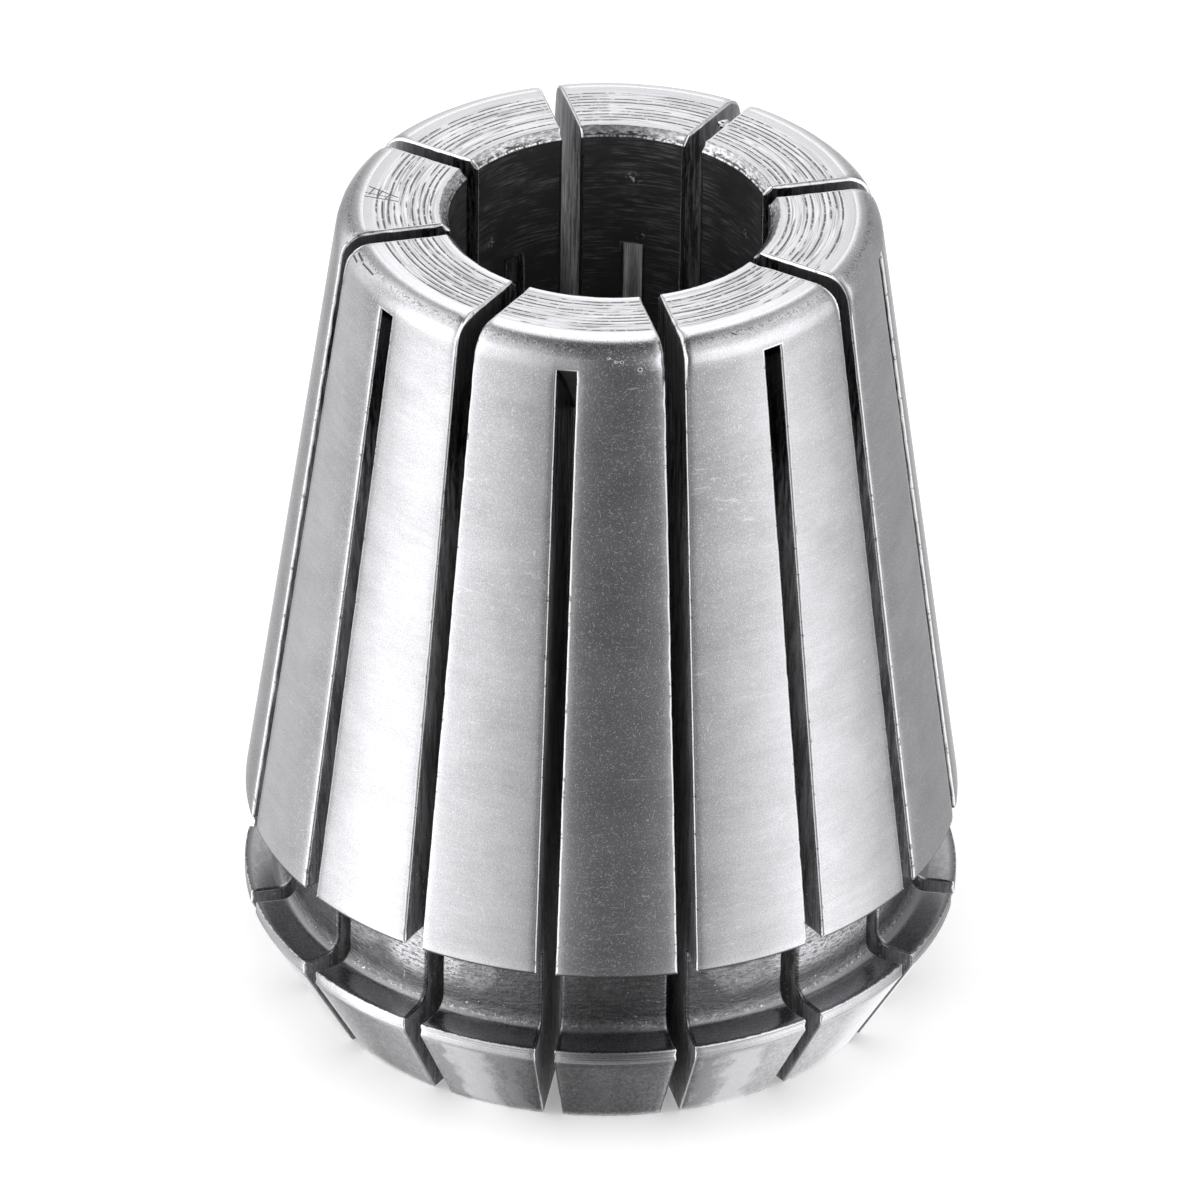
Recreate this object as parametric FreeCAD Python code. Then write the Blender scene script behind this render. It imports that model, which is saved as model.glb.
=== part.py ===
import FreeCAD, Part
import math
import os

# An ER spring collet of size 32, one piece of spring steel. It has a ground clamping taper, a groove for the
# ring of its clamping nut, a conical nose, and saw slots that run in by turns from the nose and from the top.
# Millimetres and degrees. The collet's axis is Z, and it stands on its nose face at z = 0, small end up.

# Clamping taper
overall_length = 40.0
rim_diameter = 33.0         # largest diameter, at the taper's lower edge and round the flange
rim_height = 9.4            # from the nose face up to that edge
clamping_taper = 8.0        # to the axis
top_corner_radius = 1.25    # between the taper and the top face

# Nose and its flange
flange_edge_height = 0.6    # the straight edge between the nose cone and the groove
nose_cone_height = 4.75
nose_taper = 30.0           # to the axis

# Groove for the clamping nut's ring
groove_depth = 1.9
groove_lower_fillet = 0.7
groove_upper_fillet = 0.25

# Bore, for the tool's shank
bore_diameter = 14.5
bore_chamfer = 0.4

# Slots, cut by a circular saw that is fed in until its rim reaches the collet's axis
slots_from_each_end = 8
slot_width = 0.87
saw_diameter = 63.0
top_web = 1.0               # left standing over the slots from the nose, measured on the taper
nose_web = 3.5              # left standing under the slots from the top, measured in the bore

# Worked out from the sizes above
rim_radius = rim_diameter / 2
groove_radius = rim_radius - groove_depth
bore_radius = bore_diameter / 2
flange_top = nose_cone_height + flange_edge_height
nose_face_radius = rim_radius - nose_cone_height * math.tan(math.radians(nose_taper))
saw_radius = saw_diameter / 2
saw_overrun = 1.0           # how far each cutter stands clear of the solid it cuts


def taper_radius(height):
    """Radius of the clamping taper at this height."""
    return rim_radius - (height - rim_height) * math.tan(math.radians(clamping_taper))


def saw_reach(radius):
    """How far the saw's rim reaches along the collet from the saw's centre, at this radius of the collet."""
    return math.sqrt(saw_radius ** 2 - (saw_radius - radius) ** 2)


def point(x, z):
    return FreeCAD.Vector(x, 0, z)


def corner_arc(before, corner, after, radius):
    """The arc that rounds a corner, tangent to the lines from it to the points before and after it."""
    to_before = (before - corner).normalize()
    to_after = (after - corner).normalize()
    half_angle = to_before.getAngle(to_after) / 2
    inward = (to_before + to_after).normalize()
    setback = radius / math.tan(half_angle)
    centre = corner + inward * (radius / math.sin(half_angle))
    return Part.Arc(corner + to_before * setback, centre - inward * radius, corner + to_after * setback)


def section(corners):
    """A closed face in the XZ plane, from corners given as (x, z, rounding radius) in order."""
    points = [point(x, z) for x, z, radius in corners]
    arcs = []
    line_starts = []
    line_ends = []
    for i, (x, z, radius) in enumerate(corners):
        line_starts.append(points[i])
        line_ends.append(points[i])
        if radius > 0:
            arc = corner_arc(points[i - 1], points[i], points[(i + 1) % len(points)], radius)
            arcs.append(arc.toShape())
            line_ends[i] = arc.StartPoint
            line_starts[i] = arc.EndPoint
    lines = [Part.makeLine(line_starts[i - 1], line_ends[i]) for i in range(len(points))]
    return Part.Face(Part.Wire(Part.sortEdges(lines + arcs)[0]))


def turned_body():
    """The collet as it leaves the lathe and the grinder, before it is slotted."""
    mouth_radius = bore_radius + bore_chamfer
    half_section = section([
        (mouth_radius, 0, 0),
        (nose_face_radius, 0, 0),
        (rim_radius, nose_cone_height, 0),
        (rim_radius, flange_top, 0),
        (groove_radius, flange_top, groove_lower_fillet),
        (groove_radius, rim_height, groove_upper_fillet),
        (rim_radius, rim_height, 0),
        (taper_radius(overall_length), overall_length, top_corner_radius),
        (mouth_radius, overall_length, 0),
        (bore_radius, overall_length - bore_chamfer, 0),
        (bore_radius, bore_chamfer, 0),
    ])
    return half_section.revolve(point(0, 0), FreeCAD.Vector(0, 0, 1), 360)


def saw_cut(centre_height, direction):
    """What the saw removes on the +X side: its rim's arc, above its centre (direction 1) or below it (-1),
    and its straight path in from the collet's other end."""
    outer = rim_radius + saw_overrun
    entry = -saw_overrun if direction > 0 else overall_length + saw_overrun
    rim_start = point(0, centre_height)
    rim_middle = point(outer / 2, centre_height + direction * saw_reach(outer / 2))
    rim_end = point(outer, centre_height + direction * saw_reach(outer))
    rim = Part.Arc(rim_start, rim_middle, rim_end)
    way_in = Part.makePolygon([rim_end, point(outer, entry), point(0, entry), rim_start])
    side = Part.Face(Part.Wire([rim.toShape()] + way_in.Edges))
    side.translate(FreeCAD.Vector(0, -slot_width / 2, 0))
    return side.extrude(FreeCAD.Vector(0, slot_width, 0))


def slot_pattern(cutter, first_angle):
    """Copies of one cutter, evenly spaced round the axis."""
    copies = []
    for i in range(slots_from_each_end):
        copy = cutter.copy()
        copy.rotate(point(0, 0), FreeCAD.Vector(0, 0, 1), first_angle + i * 360 / slots_from_each_end)
        copies.append(copy)
    return copies


def slotted(body):
    """The body with its two sets of slots, one set half a pitch on from the other."""
    top_end = overall_length - top_web
    nose_cut = saw_cut(top_end - saw_reach(taper_radius(top_end)), 1)
    top_cut = saw_cut(nose_web + saw_reach(bore_radius), -1)
    half_pitch = 180 / slots_from_each_end
    front = -90
    return body.cut(slot_pattern(nose_cut, front) + slot_pattern(top_cut, front + half_pitch))


os.makedirs("parts", exist_ok=True)
collet = slotted(turned_body())
collet.exportStep("parts/collet.step")
print("collet:", len(collet.Solids), "solid, valid", collet.isValid(), "volume", round(collet.Volume, 1), "mm3")
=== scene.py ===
import math

import bpy
from mathutils import Matrix, Vector, noise


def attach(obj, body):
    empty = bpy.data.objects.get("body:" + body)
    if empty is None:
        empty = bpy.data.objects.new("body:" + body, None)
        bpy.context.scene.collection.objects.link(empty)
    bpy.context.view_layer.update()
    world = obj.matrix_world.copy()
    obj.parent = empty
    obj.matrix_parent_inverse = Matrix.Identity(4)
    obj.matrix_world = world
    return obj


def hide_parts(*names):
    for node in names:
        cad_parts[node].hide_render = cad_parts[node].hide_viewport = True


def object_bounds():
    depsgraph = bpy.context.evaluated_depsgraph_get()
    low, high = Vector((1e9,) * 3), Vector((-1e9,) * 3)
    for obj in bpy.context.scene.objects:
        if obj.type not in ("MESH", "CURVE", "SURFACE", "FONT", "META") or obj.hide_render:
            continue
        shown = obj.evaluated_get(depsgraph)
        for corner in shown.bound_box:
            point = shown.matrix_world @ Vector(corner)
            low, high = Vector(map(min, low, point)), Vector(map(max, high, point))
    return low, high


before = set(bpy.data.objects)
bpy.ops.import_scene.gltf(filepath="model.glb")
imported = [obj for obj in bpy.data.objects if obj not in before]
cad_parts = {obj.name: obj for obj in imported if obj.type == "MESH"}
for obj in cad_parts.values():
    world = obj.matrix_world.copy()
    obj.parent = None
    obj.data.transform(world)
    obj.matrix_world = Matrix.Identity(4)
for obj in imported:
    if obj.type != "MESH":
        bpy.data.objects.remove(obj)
cad_low, cad_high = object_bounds()

# An ER spring collet, size 32: bright ground tapers, a turned top face, and dark hardened steel in the
# groove, the bore and the saw slots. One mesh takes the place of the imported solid, in the same form, with
# its edges broken, its corners rubbed over and its turning marks cut in.
# Sizes are in millimetres and degrees, and become metres where the mesh is made.
MM = 0.001

# The collet's sizes, as its solid has them
overall_length = cad_high.z / MM
rim_diameter = 33.0
rim_height = 9.4
clamping_taper = 8.0
top_corner_radius = 1.25
flange_edge_height = 0.6
nose_cone_height = 4.75
nose_taper = 30.0
groove_depth = 1.9
groove_lower_fillet = 0.7
groove_upper_fillet = 0.25
bore_diameter = 14.5
bore_chamfer = 0.4
slots_from_each_end = 8
slot_width = 0.87
saw_diameter = 63.0
top_web = 1.0
nose_web = 3.5

# Worked out from them
rim_radius = rim_diameter / 2
groove_radius = rim_radius - groove_depth
bore_radius = bore_diameter / 2
mouth_radius = bore_radius + bore_chamfer
saw_radius = saw_diameter / 2
half_slot = slot_width / 2
flange_top = nose_cone_height + flange_edge_height
taper_slope = math.tan(math.radians(clamping_taper))
nose_face_radius = rim_radius - nose_cone_height * math.tan(math.radians(nose_taper))
top_corner_setback = top_corner_radius * math.tan(math.radians((90 - clamping_taper) / 2))
flat_radius = rim_radius - (overall_length - rim_height) * taper_slope - top_corner_setback
slot_count = 2 * slots_from_each_end
slot_pitch = 2 * math.pi / slot_count
front = -math.pi / 2        # the first slot from the nose, at -Y

# Corners and edges
small_round = 0.1           # on turned corners
bore_round = 0.12           # where the bore's chamfers meet their neighbours
rim_round = 0.1             # at the taper's lower edge
edge_break = 0.14           # taken off a slot's edges, more or less
edge_break_change = 0.04
least_edge_break = 0.08
most_edge_break = 0.18
edge_break_scale = 1.7      # of the noise that changes it
small_chip_scale = 1.9      # of a finer noise, which chips the edges
small_chip_level = 0.4
small_chip_depth = 0.2
nose_break = 0.5            # how much of an edge's break the nose's edges have
corner_share = 0.75         # the most that the break takes of a rounded corner
roll_off = 0.017            # how far a rubbed corner lies below the surface it belongs to
roll_off_width = 0.3
rim_roll_off = 0.03
rim_roll_off_width = 0.45
corner_rub = 2.0            # how much more the slots' edges are rubbed at the top corner
corner_height = overall_length - 0.8
turned_rub = 0.25           # how much those edges are rubbed in the top face
rub_fade = 1.2              # how far below a slot's closed end the rubbing starts to fade
just_past = 0.02            # how far past a ring a slot is looked for

# Turning marks in the top face
groove_pitch = 0.27
groove_half_width = 0.065
groove_cut = 0.009
clean_outer_band = 0.6      # without marks
clean_inner_band = 0.35

# The mesh
rim_rings = [0, 0.06, 0.13, 0.21, 0.32]        # how far the taper's first rings lie from its lower edge
near_edge = [0, 0.04, 0.1, 0.18, 0.3, 0.6]     # how far a land's first columns lie from a slot's edge
middle_columns = 7
columns = 2 * len(near_edge) + middle_columns
edge_steps = 3              # faces round each edge of a slot
arc_step = 0.3              # along the closed end of a slot
least_spacing = 0.25        # between the end of a slot and its neighbouring rings
sharp_angle = 50

# Chips that the photograph shows in the slots' edges: slot, side, place in the section, reach and depth
edge_chips = [
    (1, 1, (11.2, 39.95), 0.7, 0.14),
    (1, 1, (10.2, 40.0), 0.35, 0.1),
    (2, 1, (11.9, 39.6), 0.4, 0.08),
    (15, -1, (11.3, 40.0), 0.4, 0.08),
    (3, -1, (8.2, 40.0), 0.3, 0.1)]

# Scratches in the photograph: start and end on the surface, and half width
top_scratches = [
    ((-11.25, -0.66, 40.0), (-9.5, -0.9, 40.0), 0.045),
    ((-11.0, 0.2, 40.0), (-9.6, -0.55, 40.0), 0.045),
    ((-11.1, -0.35, 40.0), (-9.9, -0.62, 40.0), 0.035),
    ((-10.9, -0.5, 40.0), (-10.75, 0.1, 40.0), 0.04),
    ((-10.5, -0.7, 40.0), (-10.35, -0.1, 40.0), 0.04),
    ((-10.1, -0.8, 40.0), (-9.95, -0.3, 40.0), 0.04)]
corner_scratches = [
    ((-10.78, -5.3, 39.62), (-10.55, -5.78, 39.6), 0.065),
    ((-10.55, -5.31, 39.79), (-10.27, -5.91, 39.76), 0.065),
    ((-10.23, -6.08, 39.72), (-9.62, -6.98, 39.74), 0.05),
    ((6.95, -9.41, 39.85), (7.13, -9.39, 39.8), 0.04)]

# Dents, specks and bare patches in the photograph: place and size
corner_dents = [
    ((3.23, -11.89, 39.05), 0.11),
    ((2.16, -12.0, 39.4), 0.07),
    ((2.42, -11.95, 39.38), 0.07),
    ((1.83, -11.97, 39.52), 0.06)]
bore_specks = [
    ((0.01, 7.25, 37.5), 0.45),
    ((5.6, 4.61, 36.65), 0.3),
    ((-6.08, 3.95, 35.25), 0.45),
    ((-4.99, 5.26, 33.9), 0.35),
    ((0.32, 7.24, 34.5), 0.3)]
groove_patches = [
    ((-6.1, -13.3, 8.2), 2.6),
    ((-6.6, -13.0, 11.2), 4.2),
    ((12.3, -7.9, 8.2), 5.3)]

# A curl of metal left at a slot's edge, and a pit in it, painted dark as shade
burr_place = (3.87, 8.72, 39.89)
burr_size = 0.34
painted_pit_shade = (3.83, 8.68, 39.98)

# Painted reflections down the nose, as lighter and darker bands: degrees round from the front, half width in
# degrees, and grey level
painted_nose_reflections = [(-13.2, 5.0, 1.0), (-17.9, 1.4, 0.45), (-6.0, 1.6, 0.65), (27.0, 2.2, 0.4), (33.5, 4.5, 0.9),
              (67.0, 16.0, 0.95)]

# The camera, found by fitting the collet's circles and slots to the photograph
camera_azimuth = 8.45       # from -Y towards +X
camera_elevation = 32.24
camera_distance = 608.0
camera_roll = 0.8
aim_sideways = -0.193
aim_height = 19.252
sensor_width = 36.0
focal_length = 397.94

# The studio. A level of 1 is the white of the background.
cloth_level = 0.4
left_level = 1.75
left_wing_level = 0.68
high_left_wing_level = 0.98
right_level = 1.38
back_level = 1.32
low_back_level = 0.8
gap_level = 0.115           # left in the cloth for the camera
roof_level = 0.9
left_roof_level = 1.2
table_level = 0.36
table_left_level = 0.85
table_right_level = 0.85
table_back_level = 1.25
floor_white = 0.95
floor_lift = 0.26           # what the floor adds to its own white where the camera sees it
surround_light = 0.95       # what the white surround gives to matt surfaces
floor_size = 4000.0
tent_radius = 250.0
lamp_distance = 400.0
lamp_size = 200.0

# Where the tent's panels start, are full, begin to fade and end, in degrees round from the camera
left_wing_panel = (-142, -137, -112, -100)
left_panel = (-106, -80, -66, -14)
camera_gap = (-13, -5, 13, 24)
table_left_panel = (-134, -128, -100, -60)
table_right_panel = (60, 115, 170, 180)
seam_band = (-26, -12, -9, 2)       # a darker band round the tent, in degrees of elevation

# The parts of the surface that have a finish of their own, in the order of the mesh's material slots
GROUND, TURNED, MOUTH, BORE, DARK, SAWN, EDGE = range(7)


def taper_radius(height):
    """Radius of the clamping taper at this height."""
    return rim_radius - (height - rim_height) * taper_slope


def saw_reach(radius):
    """How far the saw's rim reaches along the collet from the saw's centre, at this radius of the collet."""
    return math.sqrt(saw_radius ** 2 - (saw_radius - radius) ** 2)


def closed_top_end(radius):
    """Height at which a slot from the nose ends."""
    top = overall_length - top_web
    return top - saw_reach(taper_radius(top)) + saw_reach(radius)


def closed_nose_end(radius):
    """Height at which a slot from the top ends."""
    return nose_web + saw_reach(bore_radius) - saw_reach(radius)


def slot_removes(slot, place):
    """Whether this slot has been cut through this point (radius, height) of the section."""
    if slot % 2 == 0:
        return place.y < closed_top_end(place.x)
    return place.y > closed_nose_end(place.x)


class Row:
    """One ring of the section's outline: its place, the finish up to the next ring, and the normal there."""

    def __init__(self, place, finish, groove=None, rounding=None, ends_slot=None):
        self.place = place
        self.finish = finish
        self.groove = groove            # number of the turning mark at this ring
        self.rounding = rounding        # radius of the corner that the ring lies on
        self.ends_slot = ends_slot      # 0 or 1 where a slot of that set ends
        self.normal = None


def rounded_corner(before, corner, after, radius, steps):
    """Points along the arc that rounds a corner of the section."""
    to_before = (before - corner).normalized()
    to_after = (after - corner).normalized()
    half_angle = to_before.angle(to_after) / 2
    centre = corner + (to_before + to_after).normalized() * (radius / math.sin(half_angle))
    first = corner + to_before * (radius / math.tan(half_angle)) - centre
    last = corner + to_after * (radius / math.tan(half_angle)) - centre
    return [centre + first.lerp(last, i / steps).normalized() * radius for i in range(steps + 1)]


def plain_run(start, end, finish, pitch):
    """Rings at an even pitch along a straight side of the section."""
    count = max(1, round((end - start).length / pitch))
    return [Row(start.lerp(end, i / count), finish) for i in range(count)]


def taper_run(start, end, pitch):
    """Rings along the clamping taper, closer together where its lower edge is rubbed over."""
    direction = (end - start).normalized()
    rows = [Row(start + direction * along, GROUND) for along in rim_rings]
    rows += plain_run(start + direction * rim_roll_off_width, end, GROUND, pitch)
    for row in rows:
        near = max(0, 1 - (row.place - start).length / rim_roll_off_width)
        row.place = Vector((taper_radius(row.place.y) - rim_roll_off * near ** 2, row.place.y))
    return rows


def turned_run(start, end):
    """Rings along the top face, three to each groove that the turning tool left."""
    rows = [Row(start, TURNED)]
    count = int((start.x - end.x - clean_outer_band - clean_inner_band) / groove_pitch)
    for i in range(count + 1):
        centre = start.x - clean_outer_band - i * groove_pitch
        rows.append(Row(Vector((centre + groove_half_width, start.y)), TURNED))
        rows.append(Row(Vector((centre, start.y)), TURNED, groove=i))
        rows.append(Row(Vector((centre - groove_half_width, start.y)), TURNED))
    return rows


def section_rows():
    """The section's outline as rings, from the nose face out and up, over the top and down the bore."""
    # Each corner: radius, height, rounding, its steps and finish, then the finish and pitch of the next side
    corners = [
        (mouth_radius, 0, bore_round, 2, MOUTH, GROUND, 0.9),
        (nose_face_radius, 0, small_round, 2, GROUND, GROUND, 0.45),
        (rim_radius, nose_cone_height, small_round, 2, GROUND, GROUND, 0.2),
        (rim_radius, flange_top, small_round, 2, GROUND, DARK, 0.3),
        (groove_radius, flange_top, groove_lower_fillet, 6, DARK, DARK, 0.4),
        (groove_radius, rim_height, groove_upper_fillet, 3, DARK, DARK, 0.5),
        (rim_radius - rim_roll_off, rim_height, rim_round, 4, GROUND, GROUND, 0.4),
        (taper_radius(overall_length), overall_length, top_corner_radius, 12, GROUND, TURNED, None),
        (mouth_radius, overall_length, bore_round, 3, MOUTH, MOUTH, 0.12),
        (bore_radius, overall_length - bore_chamfer, bore_round, 3, MOUTH, BORE, 0.8),
        (bore_radius, bore_chamfer, bore_round, 2, BORE, MOUTH, 0.2),
    ]
    places = [Vector(corner[:2]) for corner in corners]
    count = len(corners)
    arcs = [rounded_corner(places[i - 1], places[i], places[(i + 1) % count], corners[i][2], corners[i][3])
            for i in range(count)]
    rows = []
    for i, (radius, height, rounding, steps, round_finish, finish, pitch) in enumerate(corners):
        rows += [Row(place, round_finish, rounding=rounding) for place in arcs[i][:-1]]
        start = arcs[i][-1]
        end = arcs[(i + 1) % count][0]
        if finish == TURNED:
            run = turned_run(start, end)
        elif finish == GROUND and height == rim_height:
            run = taper_run(start, end, pitch)
        else:
            run = plain_run(start, end, finish, pitch)
        run[0].rounding = rounding
        rows += run
    return rows


def with_slot_ends(rows):
    """The same rings, with one more at each place where the rim of a saw leaves the outline."""
    result = []
    for i, row in enumerate(rows):
        result.append(row)
        following = rows[(i + 1) % len(rows)].place
        for slot in (0, 1):
            if slot_removes(slot, row.place) == slot_removes(slot, following):
                continue
            inside, outside = row.place, following
            for step in range(30):
                middle = (inside + outside) / 2
                if slot_removes(slot, middle) == slot_removes(slot, row.place):
                    inside = middle
                else:
                    outside = middle
            result.append(Row(middle, row.finish, ends_slot=slot))
    ends = [row.place for row in result if row.ends_slot is not None]
    return [row for row in result if row.ends_slot is not None
            or min((row.place - end).length for end in ends) > least_spacing]


def set_normals(rows):
    """Gives each ring the direction out of the metal."""
    for i, row in enumerate(rows):
        along = rows[(i + 1) % len(rows)].place - rows[i - 1].place
        row.normal = Vector((along.y, -along.x)).normalized()


def cut_rows(rows, slot):
    """Numbers of the rings that this slot cuts, in order, from one end of its saw's arc to the other."""
    count = len(rows)
    ends = [i for i, row in enumerate(rows) if row.ends_slot == slot]
    first = next(i for i in ends if slot_removes(slot, rows[(i + 1) % count].place))
    last = next(i for i in ends if i != first)
    length = (last - first) % count
    return [(first + i) % count for i in range(length + 1)]


class ColletMesh:
    """Builds the collet's surface: 16 lands between the slots, the slots' walls and ends, and the webs."""

    def __init__(self):
        rows = with_slot_ends(section_rows())
        set_normals(rows)
        self.rows = rows
        self.cuts = [cut_rows(rows, 0), cut_rows(rows, 1)]
        self.points = []
        self.marks = []
        self.faces = []
        self.finishes = []

    def add_point(self, place, mark=0.0):
        self.points.append(place * MM)
        self.marks.append(mark)
        return len(self.points) - 1

    def add_face(self, corners, finish):
        self.faces.append(corners)
        self.finishes.append(finish)

    def wear(self, slot, side, row):
        """How much of this edge of a slot is broken away at this ring."""
        scale = edge_break_scale
        place = Vector((row.place.x * scale, row.place.y * scale, 9.1 * slot + 3.7 * side))
        chips = max(0, noise.noise(place * small_chip_scale) - small_chip_level) * small_chip_depth
        size = edge_break + edge_break_change * noise.noise(place) + chips
        size = min(most_edge_break, max(least_edge_break, size))
        for chipped_slot, chipped_side, chip, reach, depth in edge_chips:
            if (chipped_slot, chipped_side) == (slot, side):
                size += depth * max(0, 1 - (row.place - Vector(chip)).length / reach)
        if row.place.y < nose_cone_height:
            size *= nose_break
        return size if row.rounding is None else min(size, corner_share * row.rounding)

    def rub(self, slot, index):
        """How strongly the surface rolls off towards this slot at this ring."""
        row = self.rows[index]
        past = just_past if slot % 2 == 0 else -just_past
        if not slot_removes(slot, row.place + Vector((0, past))):
            return 0
        if row.finish == GROUND:
            fade = 1.0
            if slot % 2 == 0 and row.place.y > rim_height:
                fade = min(1, (closed_top_end(row.place.x) - row.place.y) / rub_fade)
            at_corner = max(0, 1 - abs(row.place.y - corner_height) / top_corner_radius)
            return fade + corner_rub * at_corner
        return turned_rub if row.finish == TURNED else 0

    def groove_mark(self, row, angle):
        """How deep the turning groove is here, from 0 to 1: it comes and goes along its ring."""
        # Slow noise leaves gaps between the marks, and finer noise frays their ends
        along = angle * row.place.x
        broken = noise.noise(Vector((along * 0.3, row.groove * 5.3, 1.7)))
        fine = noise.noise(Vector((along * 1.6, row.groove * 3.1, 8.2)))
        return min(1, max(0, (broken + 0.5 * fine + 0.3) * 3.0))

    def across_land(self, width):
        """How far each column of a land of this width lies from the land's left edge."""
        left = near_edge
        right = [width - across for across in reversed(near_edge)]
        between = width - 2 * near_edge[-1]
        middle = [near_edge[-1] + between * (i + 1) / (middle_columns + 1) for i in range(middle_columns)]
        return left + middle + right

    def land_ring(self, land, index):
        """The points of one land along one ring."""
        row = self.rows[index]
        radius = row.place.x
        left_slot, right_slot = land, (land + 1) % slot_count
        left_break = self.wear(left_slot, 1, row)
        right_break = self.wear(right_slot, -1, row)
        left = front + land * slot_pitch + math.asin((half_slot + left_break) / radius)
        right = front + (land + 1) * slot_pitch - math.asin((half_slot + right_break) / radius)
        width = (right - left) * radius
        left_rub = self.rub(left_slot, index)
        right_rub = self.rub(right_slot, index)
        ring = []
        for across in self.across_land(width):
            angle = left + across / radius
            drop = left_rub * max(0, 1 - across / roll_off_width) ** 2
            drop += right_rub * max(0, 1 - (width - across) / roll_off_width) ** 2
            drop *= roll_off
            mark = 0.0
            if row.groove is not None:
                mark = self.groove_mark(row, angle)
                drop += mark * groove_cut
            place = row.place - row.normal * drop
            point = Vector((place.x * math.cos(angle), place.x * math.sin(angle), place.y))
            ring.append(self.add_point(point, mark))
        return ring

    def in_slot(self, slot, place, offset):
        """A point of the section's plane through this slot, moved sideways by an offset."""
        angle = front + slot * slot_pitch
        outward = Vector((math.cos(angle), math.sin(angle), 0))
        sideways = Vector((-math.sin(angle), math.cos(angle), 0))
        radial = math.sqrt(place.x ** 2 - offset ** 2)
        return outward * radial + sideways * offset + Vector((0, 0, place.y))

    def slot_edge(self, slot, side, land_edge):
        """The lines of points that round a slot's edge, from the land's own edge to the slot's wall."""
        cut = self.cuts[slot % 2]
        into_slot = {
            cut[0]: (self.rows[cut[1]].place - self.rows[cut[0]].place).normalized(),
            cut[-1]: (self.rows[cut[-2]].place - self.rows[cut[-1]].place).normalized()}
        lines = [land_edge]
        for step in range(1, edge_steps + 1):
            turn = math.pi / 2 * step / edge_steps
            line = {}
            for index in cut:
                row = self.rows[index]
                size = self.wear(slot, side, row)
                place = row.place - row.normal * (size * (1 - math.cos(turn)))
                if index in into_slot:
                    place += into_slot[index] * (size * math.sin(turn))
                offset = half_slot + size * (1 - math.sin(turn))
                line[index] = self.add_point(self.in_slot(slot, place, side * offset))
            lines.append(line)
        return lines

    def arc_points(self, slot):
        """Places along the saw's arc, from the cut's last ring back to its first."""
        cut = self.cuts[slot % 2]
        start = self.rows[cut[-1]].place.x
        end = self.rows[cut[0]].place.x
        reach = closed_top_end if slot % 2 == 0 else closed_nose_end
        steps = max(6, round(abs(end - start) / arc_step))
        radii = [start + (end - start) * i / steps for i in range(1, steps)]
        return [Vector((radius, reach(radius))) for radius in radii]

    def build_slot(self, slot, rings):
        """Walls, edges, end and web of one slot. rings holds the points of every land."""
        before, after = rings[slot - 1], rings[slot]
        cut = self.cuts[slot % 2]
        first, last = cut[0], cut[-1]
        far = self.slot_edge(slot, 1, {i: after[i][0] for i in cut})
        near = self.slot_edge(slot, -1, {i: before[i][-1] for i in cut})
        for far_a, far_b, near_a, near_b in zip(far, far[1:], near, near[1:]):
            for i, j in zip(cut, cut[1:]):
                finish = DARK if self.rows[i].finish == DARK else EDGE
                self.add_face([far_b[i], far_a[i], far_a[j], far_b[j]], finish)
                self.add_face([near_a[i], near_b[i], near_b[j], near_a[j]], finish)
            self.add_face([far_a[last], near_a[last], near_b[last], far_b[last]], EDGE)
            self.add_face([near_a[first], far_a[first], far_b[first], near_b[first]], EDGE)
        arc = self.arc_points(slot)
        far_arc = [self.add_point(self.in_slot(slot, place, half_slot)) for place in arc]
        near_arc = [self.add_point(self.in_slot(slot, place, -half_slot)) for place in arc]
        far_wall, near_wall = far[-1], near[-1]
        far_line = [far_wall[last]] + far_arc + [far_wall[first]]
        near_line = [near_wall[last]] + near_arc + [near_wall[first]]
        for n in range(len(far_line) - 1):
            self.add_face([far_line[n + 1], far_line[n], near_line[n], near_line[n + 1]], BORE)
        self.add_face([far_wall[i] for i in cut] + far_arc, SAWN)
        self.add_face(list(reversed([near_wall[i] for i in cut] + near_arc)), SAWN)
        self.build_web(cut, before, after)

    def build_web(self, cut, before, after):
        """The surface that goes on across a slot where the saw hasn't reached."""
        index = cut[-1]
        while index != cut[0]:
            following = (index + 1) % len(self.rows)
            self.add_face([before[index][-1], after[index][0], after[following][0], before[following][-1]],
                          self.rows[index].finish)
            index = following

    def build(self):
        """All the lands, and then all the slots between them."""
        count = len(self.rows)
        rings = [[self.land_ring(land, index) for index in range(count)] for land in range(slot_count)]
        for land in range(slot_count):
            for index in range(count):
                here, following = rings[land][index], rings[land][(index + 1) % count]
                for column in range(columns - 1):
                    self.add_face([here[column], here[column + 1], following[column + 1], following[column]],
                                  self.rows[index].finish)
        for slot in range(slot_count):
            self.build_slot(slot, rings)

    def add_burr(self, place, size):
        """A curl of metal left standing at a slot's edge: a small uneven lump, sunk into the surface."""
        around, levels = 10, 5
        first = len(self.points)
        for level in range(1, levels):
            tilt = math.pi * level / levels
            for i in range(around):
                turn = 2 * math.pi * i / around
                out = Vector((math.sin(tilt) * math.cos(turn), math.sin(tilt) * math.sin(turn),
                              0.3 * math.cos(tilt)))
                reach = size * (1 + 0.6 * noise.noise(out * 2.9))
                self.add_point(Vector(place) + out * reach)
        up = Vector((0, 0, 0.28 * size))
        top = self.add_point(Vector(place) + up)
        bottom = self.add_point(Vector(place) - up)
        last = first + (levels - 2) * around
        for i in range(around):
            j = (i + 1) % around
            self.add_face([top, first + i, first + j], EDGE)
            self.add_face([bottom, last + j, last + i], EDGE)
            for level in range(levels - 2):
                row = first + level * around
                self.add_face([row + i, row + around + i, row + around + j, row + j], EDGE)

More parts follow.
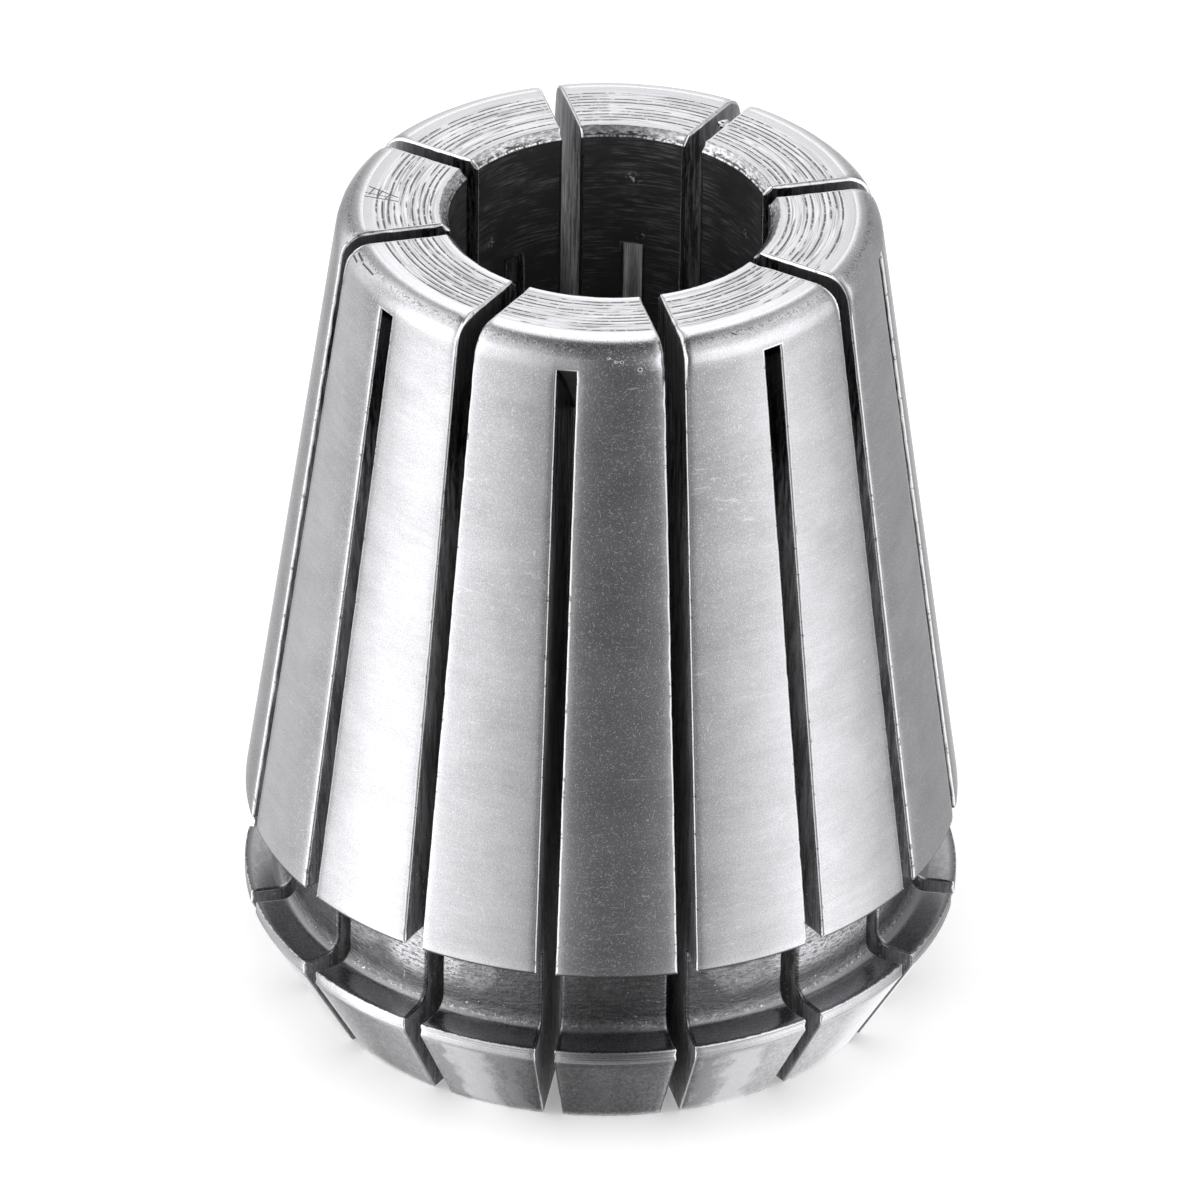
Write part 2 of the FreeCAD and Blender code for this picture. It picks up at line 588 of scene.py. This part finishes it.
    def to_object(self, name, materials):
        """The mesh as an object, with its finishes and the depth of its turning marks."""
        mesh = bpy.data.meshes.new(name)
        mesh.from_pydata(self.points, [], self.faces)
        for material in materials:
            mesh.materials.append(material)
        mesh.polygons.foreach_set("material_index", self.finishes)
        mesh.polygons.foreach_set("use_smooth", [True] * len(self.faces))
        mesh.set_sharp_from_angle(angle=math.radians(sharp_angle))
        mesh.polygons.foreach_set("use_smooth", [finish != SAWN for finish in self.finishes])
        marks = mesh.attributes.new("turning_mark", "FLOAT", "POINT")
        marks.data.foreach_set("value", self.marks)
        mesh.update()
        mesh.validate()
        made = bpy.data.objects.new(name, mesh)
        bpy.context.scene.collection.objects.link(made)
        return made


class Shader:
    """Short ways to write one material's nodes. Values are numbers or the outputs of other nodes."""

    def __init__(self, name):
        self.material = bpy.data.materials.new(name)
        self.material.use_nodes = True
        self.tree = self.material.node_tree
        self.surface = self.tree.nodes["Principled BSDF"]
        self.set("Metallic", 1.0)
        place = self.node("ShaderNodeTexCoord").outputs["Object"]
        self.place = self.vectors("SCALE", place, scale=1 / MM)
        x, y, self.height = self.node("ShaderNodeSeparateXYZ", {0: self.place}).outputs
        self.radius = self.maths("SQRT", self.plus(self.times(x, x), self.times(y, y)))
        self.angle = self.maths("ARCTAN2", y, x)

    def feed(self, socket, value):
        """Gives a socket its value, or a link from another node's output."""
        if isinstance(value, bpy.types.NodeSocket):
            self.tree.links.new(value, socket)
        else:
            socket.default_value = value

    def set(self, name, value):
        """Gives an input of the surface its value."""
        self.feed(self.surface.inputs[name], value)

    def node(self, kind, inputs=None, **settings):
        node = self.tree.nodes.new(kind)
        for name, value in settings.items():
            setattr(node, name, value)
        for name, value in (inputs or {}).items():
            self.feed(node.inputs[name], value)
        return node

    def maths(self, operation, a, b=0.0):
        return self.node("ShaderNodeMath", {0: a, 1: b}, operation=operation).outputs[0]

    def chain(self, operation, first, *others):
        """The same operation with each value in turn."""
        for other in others:
            first = self.maths(operation, first, other)
        return first

    def plus(self, *values):
        return self.chain("ADD", *values)

    def minus(self, *values):
        return self.chain("SUBTRACT", *values)

    def times(self, *values):
        return self.chain("MULTIPLY", *values)

    def over(self, a, b):
        return self.maths("DIVIDE", a, b)

    def largest(self, *values):
        return self.chain("MAXIMUM", *values)

    def size_of(self, value):
        return self.maths("ABSOLUTE", value)

    def vectors(self, operation, a, b=(0, 0, 0), scale=1.0, output="Vector"):
        inputs = {0: a, 1: b, 3: scale}
        return self.node("ShaderNodeVectorMath", inputs, operation=operation).outputs[output]

    def noise(self, vector, scale, detail=2.0, roughness=0.5):
        return self.node("ShaderNodeTexNoise", {
            "Vector": vector, "Scale": scale, "Detail": detail, "Roughness": roughness}).outputs["Fac"]

    def round_noise(self, scales, detail=2.0, roughness=0.5):
        """Noise that runs round the collet. Its scales are for the radius, the angle and the height."""
        measures = (self.radius, self.angle, self.height)
        inputs = {i: self.times(measure, scales[i]) for i, measure in enumerate(measures)}
        return self.noise(self.node("ShaderNodeCombineXYZ", inputs).outputs[0], 1.0, detail, roughness)

    def ramp(self, value, low, high, to_low=0.0, to_high=1.0, kind="SMOOTHSTEP"):
        """Takes a value from one range to another, and holds it beyond the ends."""
        inputs = {"Value": value, "From Min": low, "From Max": high, "To Min": to_low, "To Max": to_high}
        return self.node("ShaderNodeMapRange", inputs, interpolation_type=kind).outputs["Result"]

    def band(self, value, start, full, fading, end, kind="SMOOTHSTEP"):
        """From 0 to 1 and back to 0: it comes in from start, is full up to fading, and is gone at end."""
        return self.times(self.ramp(value, start, full, kind=kind),
                          self.ramp(value, fading, end, 1.0, 0.0, kind=kind))

    def mix(self, factor, a, b):
        return self.node("ShaderNodeMix", {"Factor": factor, 6: a, 7: b}, data_type="RGBA").outputs[2]

    def level(self, factor, a, b):
        """One number taken to another by a factor from 0 to 1."""
        return self.plus(self.times(a, self.minus(1.0, factor)), self.times(factor, b))

    def distance_from(self, place):
        return self.vectors("DISTANCE", self.place, place, output="Value")

    def scratches(self, lines):
        """Where the surface lies on one of these scratches."""
        found = 0.0
        for start, end, width in lines:
            whole = Vector(end) - Vector(start)
            from_start = self.vectors("SUBTRACT", self.place, Vector(start))
            share = self.vectors("DOT_PRODUCT", from_start, whole / whole.length_squared, output="Value")
            nearest = self.vectors("SCALE", whole, scale=self.ramp(share, 0.0, 1.0, kind="LINEAR"))
            gap = self.vectors("DISTANCE", from_start, nearest, output="Value")
            found = self.largest(found, self.ramp(gap, 0.5 * width, width, 1.0, 0.0))
        return found

    def finish(self, colour, roughness, bump, strength, distance):
        """Sets the colour, the gloss and the bump, whose distance is in millimetres."""
        self.set("Base Color", colour)
        self.set("Roughness", roughness)
        made = self.node("ShaderNodeBump", {"Height": bump, "Strength": strength, "Distance": distance * MM})
        self.set("Normal", made.outputs[0])
        return self.material


def steel(value, blue=0.036):
    """A grey of this level, slightly blue as the photograph's steel is."""
    return (value, value, value * (1 + blue), 1.0)


def ground_marks(s):
    """Specks, short fibrous scratches and rubbed streaks, which are fewer on the nose."""
    specks = s.ramp(s.noise(s.place, 12.0, 2.0, 0.6), 0.58, 0.7, 0.0, 0.7)
    contour = s.size_of(s.minus(s.noise(s.place, 1.7, 1.0), 0.5))
    fibres = s.times(s.ramp(contour, 0.002, 0.008, 0.75, 0.0), s.ramp(s.noise(s.place, 3.1, 1.0), 0.6, 0.66))
    streaks = s.ramp(s.round_noise((1.0, 14.0, 7.0), 3.0, 0.7), 0.6, 0.7)
    rubbed = s.times(streaks, s.ramp(s.noise(s.place, 0.3, 1.0), 0.52, 0.62, 0.0, 0.8))
    marks = s.largest(specks, fibres, rubbed)
    return s.times(marks, s.ramp(s.height, nose_cone_height, rim_height, 0.35, 1.0))


def nose_colour(s, colour):
    """The nose: painted shade towards its face, mottled, and with painted reflections in lighter and darker
    bands down it.
    """
    nose = s.ramp(s.height, nose_cone_height - 0.3, nose_cone_height, 1.0, 0.0)
    blotches = s.ramp(s.round_noise((0.0, 7.0, 0.1)), 0.35, 0.62, 0.0, 0.3)
    # Painted shade: the nose darkens towards its face, standing in for the shadowed table it mirrors there
    painted_shade_low_down = s.ramp(s.height, 0.6, 4.2, 0.22, 0.0)
    mottled = s.ramp(s.round_noise((2.0, 90.0, 4.5), 3.0, 0.75), 0.42, 0.6, 0.0, 0.35)
    colour = s.mix(s.times(nose, s.plus(blotches, painted_shade_low_down, mottled)), colour, steel(0.3))
    # Painted reflections: lighter and darker bands at fixed angles round from the front, their edges
    # wavering
    wavering = s.times(s.minus(s.noise(s.place, 0.9, 1.0), 0.5), math.radians(6))
    for degrees, half_width, light in painted_nose_reflections:
        off_middle = s.minus(s.plus(s.angle, wavering), front + math.radians(degrees))
        away = s.over(s.size_of(off_middle), math.radians(half_width))
        colour = s.mix(s.times(nose, s.ramp(away, 0.4, 1.0, 0.7, 0.0)), colour, steel(light))
    return colour


def flange_edge_colour(s, colour):
    """The flange's straight edge: fine turned lines, and the ragged end of the groove's dark skin."""
    edge = s.band(s.height, nose_cone_height, nose_cone_height + 0.03, flange_top + 0.1, flange_top + 0.3)
    fine_lines = s.ramp(s.round_noise((0.0, 2.0, 16.0), 3.0, 0.7), 0.52, 0.64, 0.0, 0.5)
    ragged = s.plus(s.height, s.times(s.round_noise((0.0, 45.0, 0.0), 3.0, 0.7), 0.2))
    fringe = s.ramp(ragged, flange_top + 0.06, flange_top + 0.1)
    return s.mix(s.times(edge, s.largest(fine_lines, fringe)), colour, steel(0.22))


def top_corner_colour(s, colour):
    """The rounded top corner: dark speckles below a painted highlight along its lip."""
    top = overall_length
    corner = s.band(s.height, top - 0.8, top - 0.4, top - 0.15, top - 0.07)
    speckles = s.ramp(s.noise(s.place, 9.0, 3.0, 0.7), 0.49, 0.58)
    speckles = s.times(speckles, s.ramp(s.height, top - 0.35, top - 0.12, 0.2, 0.75))
    colour = s.mix(s.times(corner, speckles), colour, steel(0.2))
    # Painted highlight: a bright band along the lip where the corner meets the top face
    return s.mix(s.ramp(s.height, top - 0.1, top - 0.03, 0.0, 0.85), colour, steel(0.92))


def ground_steel():
    """The ground tapers and the turned edges beside them."""
    s = Shader("ground_steel")
    marks = ground_marks(s)
    cloud = s.noise(s.place, 0.4, 3.0, 0.55)
    grinding = s.round_noise((1.0, 6.0, 3.0), 4.0, 0.6)
    grain = s.noise(s.place, 20.0, 2.0, 0.8)
    shade = s.plus(s.times(cloud, 0.25), s.times(grinding, 0.15), s.times(grain, 0.6))
    colour = s.mix(s.ramp(shade, 0.3, 0.7), steel(0.55), steel(0.9))
    colour = s.mix(marks, colour, steel(0.9))
    colour = nose_colour(s, colour)
    colour = flange_edge_colour(s, colour)
    # Painted shade: a dark blue-grey line along the rounded lower edge of the taper, under the rim
    painted_shade_under_rim = s.band(s.height, rim_height - 0.3, rim_height - 0.1, rim_height + 0.1, rim_height + 0.17)
    colour = s.mix(painted_shade_under_rim, colour, steel(0.2, blue=0.12))
    colour = top_corner_colour(s, colour)
    scratched = s.scratches(corner_scratches)
    colour = s.mix(scratched, colour, steel(0.12))
    roughness = s.plus(s.ramp(cloud, 0.3, 0.7, 0.18, 0.21), s.times(marks, 0.2))
    height = s.minus(s.plus(marks, grain), s.times(scratched, 3.0))
    uneven = s.times(s.minus(s.noise(s.place, 9.0, 1.0), 0.5), 0.12)
    for place, size in corner_dents:
        away = s.over(s.plus(s.distance_from(place), uneven), size)
        raised_rim = s.band(away, 0.45, 0.75, 0.85, 1.15)
        # Painted shade: each dent's hollow is darker; its raised rim is a bump
        colour = s.mix(s.ramp(away, 0.4, 0.6, 0.7, 0.0), colour, steel(0.15))
        roughness = s.plus(roughness, s.times(raised_rim, 0.5))
        height = s.plus(height, s.times(raised_rim, 6.0))
    return s.finish(colour, roughness, height, strength=0.3, distance=0.012)


def turned_steel():
    """The top face: bright, with the tool's broken rings, which spread what it mirrors across them, and with
    painted light on its clean bands.
    """
    s = Shader("turned_steel")
    lines = s.round_noise((12.0, 2.5, 0.0), 3.0, 0.65)
    grain = s.noise(s.place, 9.0, 3.0, 0.65)
    colour = s.mix(s.ramp(lines, 0.34, 0.56), steel(0.88), steel(0.58))
    colour = s.mix(s.ramp(grain, 0.35, 0.65, 0.0, 0.4), colour, steel(0.8))

    outer_band = s.ramp(s.radius, flat_radius - clean_outer_band, flat_radius - 0.6 * clean_outer_band)
    inner_band = s.ramp(s.radius, mouth_radius + 0.1, mouth_radius + clean_inner_band, 1.0, 0.0)
    clean = s.times(s.largest(outer_band, inner_band), 0.85)
    # Painted light: the clean bands are brighter towards the front, darker at the sides and back
    towards_front = s.maths("COSINE", s.minus(s.angle, front))
    painted_front_light = s.mix(s.ramp(towards_front, 0.1, 0.9), steel(0.62), steel(0.94))
    colour = s.mix(clean, colour, painted_front_light)

    groove = s.node("ShaderNodeAttribute", attribute_name="turning_mark").outputs["Fac"]
    dashes = s.ramp(s.round_noise((3.0, 30.0, 0.0), 3.0, 0.6), 0.37, 0.46, 0.3, 1.0)
    rings = s.times(s.ramp(groove, 0.1, 0.6), dashes)
    fine_marks = s.ramp(lines, 0.54, 0.66, 0.0, 0.6)
    marks = s.times(s.largest(rings, fine_marks), s.minus(1.0, clean))
    marks = s.largest(marks, s.scratches(top_scratches))
    colour = s.mix(marks, colour, steel(0.13))

    round_axis = s.node("ShaderNodeTangent", direction_type="RADIAL", axis="Z").outputs[0]
    s.set("Tangent", round_axis)
    s.set("Anisotropic", 0.5)
    s.set("Anisotropic Rotation", 0.25)
    roughness = s.ramp(grain, 0.3, 0.7, 0.22, 0.3)
    return s.finish(colour, roughness, s.minus(lines, marks), strength=0.25, distance=0.015)


def bore_mouth():
    """The chamfer at each end of the bore: rubbed, with dark marks round it and a broken bright edge."""
    s = Shader("bore_mouth")
    depth = s.ramp(s.radius, bore_radius, mouth_radius, 1.0, 0.0, kind="LINEAR")
    marks = s.round_noise((9.0, 24.0, 9.0), 4.0, 0.7)
    patches = s.round_noise((0.0, 4.0, 0.0))
    colour = s.mix(s.ramp(marks, 0.38, 0.6), steel(0.9), steel(0.42))
    darkness = s.plus(s.times(depth, 0.8), s.times(marks, 1.2), s.times(patches, 0.9))
    colour = s.mix(s.ramp(darkness, 1.45, 1.75), colour, steel(0.1))
    broken = s.ramp(s.round_noise((0.0, 30.0, 0.0), 3.0, 0.7), 0.42, 0.56)
    edge = s.band(depth, 0.8, 0.88, 0.94, 1.0)
    colour = s.mix(s.times(edge, broken), colour, steel(0.95))
    return s.finish(colour, 0.3, marks, strength=0.5, distance=0.03)


def bore_steel():
    """The bore: near black, with faint broken marks round it and a few clusters of bright specks."""
    s = Shader("bore_steel")
    rings = s.round_noise((0.0, 4.0, 9.0), 5.0, 0.75)
    cloud = s.noise(s.place, 0.5, 3.0, 0.6)
    faint = s.times(s.ramp(rings, 0.46, 0.66), s.ramp(cloud, 0.35, 0.6))
    colour = s.mix(faint, steel(0.05), steel(0.2))
    near_specks = 0.0
    for place, size in bore_specks:
        near_specks = s.largest(near_specks, s.ramp(s.distance_from(place), 0.3 * size, size, 1.0, 0.0))
    specks = s.ramp(s.noise(s.place, 6.0, 3.0, 0.7), 0.55, 0.61)
    colour = s.mix(s.times(specks, near_specks), colour, steel(0.7))
    s.set("Metallic", 0.5)
    return s.finish(colour, s.ramp(rings, 0.3, 0.7, 0.38, 0.5), rings, strength=0.3, distance=0.02)


def dark_steel():
    """The groove and the flange's top: dark from hardening and pitted, with bare patches on the floor,
    painted glints and a painted highlight along the fillet.
    """
    s = Shader("dark_steel")
    streaks = s.round_noise((3.0, 12.0, 7.0), 4.0, 0.65)
    pits = s.round_noise((5.0, 40.0, 8.0), 3.0, 0.75)
    bare = s.ramp(s.noise(s.place, 0.35, 1.0), 0.54, 0.62, 0.0, 0.4)
    for place, size in groove_patches:
        bare = s.largest(bare, s.ramp(s.distance_from(place), 0.6 * size, size, 1.0, 0.0))
    bare = s.times(bare, s.ramp(s.height, flange_top + 0.8, flange_top + 2.0))
    dark = s.mix(s.ramp(streaks, 0.35, 0.65), steel(0.17), steel(0.25))
    bright = s.mix(s.ramp(streaks, 0.3, 0.6), steel(0.55), steel(0.85))
    colour = s.mix(bare, dark, bright)
    pitted = s.times(s.ramp(pits, 0.5, 0.6), s.plus(s.times(bare, 0.35), 0.4))
    colour = s.mix(pitted, colour, steel(0.1))
    above_ledge = s.ramp(s.height, flange_top + 0.03, flange_top + 0.3)
    colour = s.mix(above_ledge, steel(0.36), colour)
    # Painted highlight: a broken bright line along the fillet above the ledge
    fillet = s.band(s.height, flange_top + 0.16, flange_top + 0.22, flange_top + 0.3, flange_top + 0.36)
    painted_fillet_highlight = s.ramp(s.round_noise((2.0, 60.0, 6.0), 3.0, 0.7), 0.53, 0.63, 0.0, 0.8)
    colour = s.mix(s.times(fillet, painted_fillet_highlight), colour, steel(0.5))
    # Painted glints: bright specks over the groove above the ledge
    painted_glints = s.ramp(s.noise(s.place, 6.0, 2.0, 0.6), 0.68, 0.73)
    colour = s.mix(s.times(painted_glints, above_ledge), colour, steel(0.85))
    height = s.times(s.plus(s.times(streaks, 0.5), pits), above_ledge)
    return s.finish(colour, s.ramp(pits, 0.35, 0.65, 0.3, 0.22), height, strength=0.7, distance=0.07)


def painted_shade_at_closed_end(s):
    """Where a wall of a slot from the nose comes near the slot's closed end, which is painted near black as
    shade.
    """
    slot_of_nose = s.maths("COSINE", s.times(s.minus(s.angle, front), slots_from_each_end))
    from_rim = s.minus(saw_radius, s.radius)
    reach = s.maths("SQRT", s.minus(saw_radius ** 2, s.times(from_rim, from_rim)))
    below_end = s.minus(s.plus(reach, closed_top_end(0)), s.height)
    return s.times(s.ramp(below_end, 0.3, 0.6, 1.0, 0.0), s.maths("GREATER_THAN", slot_of_nose, 0.0))


def sawn_steel():
    """The slots' walls: dark from hardening, with the saw's marks down them, duller low and far out, and
    painted shade near the closed ends of the slots from the nose.
    """
    s = Shader("sawn_steel")
    lines = s.round_noise((2.6, 0.0, 0.3), 6.0, 0.75)
    fine = s.round_noise((9.0, 0.0, 1.2))
    shade = s.plus(s.times(lines, 0.8), s.times(fine, 0.2))
    inner = s.mix(s.ramp(shade, 0.44, 0.57), steel(0.04), steel(0.55))
    upper = s.times(s.ramp(s.radius, 8.4, 9.6), s.ramp(s.height, 34.0, 38.0))
    inner = s.mix(upper, inner, s.mix(s.ramp(shade, 0.4, 0.6), steel(0.3), steel(0.55)))
    outer = s.mix(s.ramp(shade, 0.42, 0.58), steel(0.12), steel(0.29))
    specks = s.ramp(s.noise(s.place, 5.0, 3.0, 0.7), 0.6, 0.68, 0.0, 0.5)
    outer = s.mix(s.times(specks, s.ramp(s.height, 12.0, 16.0, 1.0, 0.2)), outer, steel(0.85))
    dull = s.times(s.ramp(s.radius, 8.0, 10.0), s.ramp(s.height, 28.0, 34.0, 1.0, 0.0))
    colour = s.mix(dull, inner, outer)
    # Painted shade: near black close to the closed end of each slot from the nose
    colour = s.mix(painted_shade_at_closed_end(s), colour, steel(0.02))
    s.set("Metallic", s.ramp(dull, 0.0, 1.0, 1.0, 0.25, kind="LINEAR"))
    s.set("Specular IOR Level", 0.2)
    roughness = s.plus(s.ramp(lines, 0.3, 0.7, 0.42, 0.3), s.times(dull, 0.25))
    return s.finish(colour, roughness, lines, strength=0.5, distance=0.05)


def edge_steel():
    """Broken edges of the slots: rubbed bright with dark gaps, duller at the bore and on the nose, with
    painted shade in the burr's pit.
    """
    s = Shader("edge_steel")
    gaps = s.ramp(s.noise(s.place, 3.0, 3.0, 0.65), 0.58, 0.68)
    colour = s.mix(gaps, steel(0.98), steel(0.4))
    colour = s.mix(s.ramp(s.radius, bore_radius + 0.15, bore_radius + 0.45, 0.45, 0.0), colour, steel(0.2))
    colour = s.mix(s.ramp(s.height, nose_cone_height - 0.3, nose_cone_height, 0.7, 0.0), colour, steel(0.3))
    # Painted shade: the burr's pit is near black
    colour = s.mix(s.ramp(s.distance_from(painted_pit_shade), 0.06, 0.1, 1.0, 0.0), colour, steel(0.03))
    s.set("Base Color", colour)
    s.set("Roughness", 0.24)
    return s.material


def collet():
    """The collet's finished surface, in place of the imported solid."""
    builder = ColletMesh()
    builder.build()
    builder.add_burr(burr_place, burr_size)
    materials = [ground_steel(), turned_steel(), bore_mouth(), bore_steel(), dark_steel(), sawn_steel(),
                 edge_steel()]
    made = builder.to_object("collet_finished", materials)
    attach(made, "root")
    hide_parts("collet")


def towards(azimuth, elevation):
    """The way to a place at these angles in degrees, with azimuth counted from -Y towards +X."""
    a, e = math.radians(azimuth), math.radians(elevation)
    return Vector((math.sin(a) * math.cos(e), -math.cos(a) * math.cos(e), math.sin(e)))


def photo_camera():
    """The camera at the photograph's viewing angle and framing."""
    back = towards(camera_azimuth, camera_elevation)
    flat_right = towards(camera_azimuth + 90, 0)
    flat_up = back.cross(flat_right)
    roll = math.radians(camera_roll)
    right = flat_right * math.cos(roll) + flat_up * math.sin(roll)
    up = flat_up * math.cos(roll) - flat_right * math.sin(roll)
    target = flat_right * aim_sideways + Vector((0, 0, aim_height))
    data = bpy.data.cameras.new("photo_camera")
    data.sensor_width = sensor_width
    data.lens = focal_length
    data.clip_start = 0.01
    data.clip_end = 10.0
    made = bpy.data.objects.new("photo_camera", data)
    turned = Matrix((right, up, back)).transposed().to_4x4()
    made.matrix_world = Matrix.Translation((target + back * camera_distance) * MM) @ turned
    bpy.context.scene.collection.objects.link(made)
    bpy.context.scene.camera = made


def studio_world():
    """A white surround. It lights the floor, and the camera, metal and glass see it at full white."""
    world = bpy.data.worlds.new("studio")
    bpy.context.scene.world = world
    world.use_nodes = True
    tree = world.node_tree
    path = tree.nodes.new("ShaderNodeLightPath")
    seen = path.outputs["Is Camera Ray"]
    for ray in ("Is Glossy Ray", "Is Transmission Ray"):
        either = tree.nodes.new("ShaderNodeMath")
        either.operation = "MAXIMUM"
        tree.links.new(seen, either.inputs[0])
        tree.links.new(path.outputs[ray], either.inputs[1])
        seen = either.outputs[0]
    strength = tree.nodes.new("ShaderNodeMapRange")
    strength.inputs["To Min"].default_value = surround_light
    strength.inputs["To Max"].default_value = 1.0
    tree.links.new(seen, strength.inputs["Value"])
    background = tree.nodes["Background"]
    background.inputs["Color"].default_value = (1, 1, 1, 1)
    tree.links.new(strength.outputs["Result"], background.inputs["Strength"])


def floor():
    """A plain pale floor, which takes the collet's shadow."""
    bpy.ops.mesh.primitive_plane_add(size=floor_size * MM)
    made = bpy.context.object
    made.name = "floor"
    material = bpy.data.materials.new("pale_floor")
    material.use_nodes = True
    tree = material.node_tree
    surface = tree.nodes["Principled BSDF"]
    surface.inputs["Base Color"].default_value = (floor_white, floor_white, floor_white, 1)
    surface.inputs["Roughness"].default_value = 1.0
    surface.inputs["Specular IOR Level"].default_value = 0.0
    surface.inputs["Emission Color"].default_value = (1, 1, 1, 1)
    path = tree.nodes.new("ShaderNodeLightPath")
    lift = tree.nodes.new("ShaderNodeMath")
    lift.operation = "MULTIPLY"
    lift.inputs[1].default_value = floor_lift
    tree.links.new(path.outputs["Is Camera Ray"], lift.inputs[0])
    tree.links.new(lift.outputs[0], surface.inputs["Emission Strength"])
    made.data.materials.append(material)
    made.visible_glossy = False


def tent_brightness(s):
    """The tent's level in every direction, with angles in degrees round from the camera: a lit panel at each
    side, a strip behind, darker cloth overhead, a pale table below, and a gap for the camera."""
    degree = math.pi / 180
    x, y, z = s.node("ShaderNodeSeparateXYZ", {0: s.place}).outputs
    azimuth = s.over(s.maths("ARCTAN2", x, s.times(y, -1.0)), degree)
    elevation = s.over(s.maths("ARCTAN2", z, s.radius), degree)
    from_front = s.size_of(azimuth)
    sideways = s.over(s.size_of(x), tent_radius)

    left_wing = s.ramp(elevation, -20, 20, left_wing_level, high_left_wing_level)
    level = s.level(s.band(azimuth, *left_wing_panel, "LINEAR"), cloth_level, left_wing)
    level = s.level(s.band(azimuth, *left_panel, "LINEAR"), level, left_level)
    right_start = s.ramp(elevation, -5, 12, 25, 5)
    right_full = s.ramp(elevation, -5, 12, 62, 46)
    level = s.level(s.band(azimuth, right_start, right_full, 74, 112, "LINEAR"), level, right_level)
    strip = s.ramp(elevation, 16, 29, low_back_level, back_level)
    strip_start = s.ramp(elevation, 0, 25, 154, 163)
    strip_full = s.ramp(elevation, 0, 25, 169, 175)
    level = s.level(s.ramp(from_front, strip_start, strip_full, kind="LINEAR"), level, strip)
    seam = s.times(s.band(elevation, *seam_band, "LINEAR"), s.ramp(from_front, 100, 125, 0.35, 0.0))
    level = s.times(level, s.minus(1.0, seam))
    level = s.level(s.band(azimuth, *camera_gap, "LINEAR"), level, gap_level)

    roof = s.ramp(sideways, 0.12, 0.5, gap_level, s.ramp(azimuth, -100, -55, left_roof_level, roof_level))
    roof_start = s.plus(s.ramp(from_front, 125, 155, 38, 45), s.ramp(from_front, 166, 177, 0, 11))
    roof_blend = s.ramp(from_front, 125, 155, 7, 22)
    level = s.level(s.ramp(s.over(s.minus(elevation, roof_start), roof_blend), 0, 1), level, roof)

    table = s.level(s.band(azimuth, *table_left_panel, "LINEAR"), table_level, table_left_level)
    table = s.level(s.band(azimuth, *table_right_panel, "LINEAR"), table, table_right_level)
    table = s.level(s.ramp(from_front, 148, 160), table, table_back_level)
    table = s.times(table, s.ramp(elevation, -82, -70, 0.2, 1.0))
    return s.level(s.ramp(elevation, -46, -36, 1.0, 0.0), level, table)


def tent():
    """The studio's round tent, seen only in the metal."""
    bpy.ops.mesh.primitive_uv_sphere_add(segments=48, ring_count=24, radius=tent_radius * MM)
    made = bpy.context.object
    made.name = "tent"
    made.location.z = overall_length / 2 * MM
    made.rotation_euler.z = math.radians(camera_azimuth)
    s = Shader("tent_cloth")
    s.tree.nodes.remove(s.surface)
    glow = s.node("ShaderNodeEmission", {"Strength": tent_brightness(s)})
    s.tree.links.new(glow.outputs[0], s.tree.nodes["Material Output"].inputs["Surface"])
    s.material.cycles.emission_sampling = "NONE"
    made.data.materials.append(s.material)
    made.visible_camera = False
    made.visible_diffuse = False
    made.visible_transmission = False
    made.visible_shadow = False


def softbox(name, azimuth, elevation, power):
    """A square area lamp that faces the collet, with azimuth counted from the camera's direction."""
    data = bpy.data.lights.new(name, "AREA")
    data.size = lamp_size * MM
    data.energy = power
    made = bpy.data.objects.new(name, data)
    back = towards(azimuth + camera_azimuth, elevation)
    made.location = back * lamp_distance * MM
    made.rotation_euler = back.to_track_quat("Z", "Y").to_euler()
    bpy.context.scene.collection.objects.link(made)


def studio():
    """The floor, and what lights the collet."""
    studio_world()
    floor()
    tent()
    softbox("left_softbox", azimuth=-75, elevation=35, power=0.25)
    softbox("right_softbox", azimuth=80, elevation=30, power=0.2)


collet()
photo_camera()
studio()
bpy.context.scene.view_settings.view_transform = "Standard"
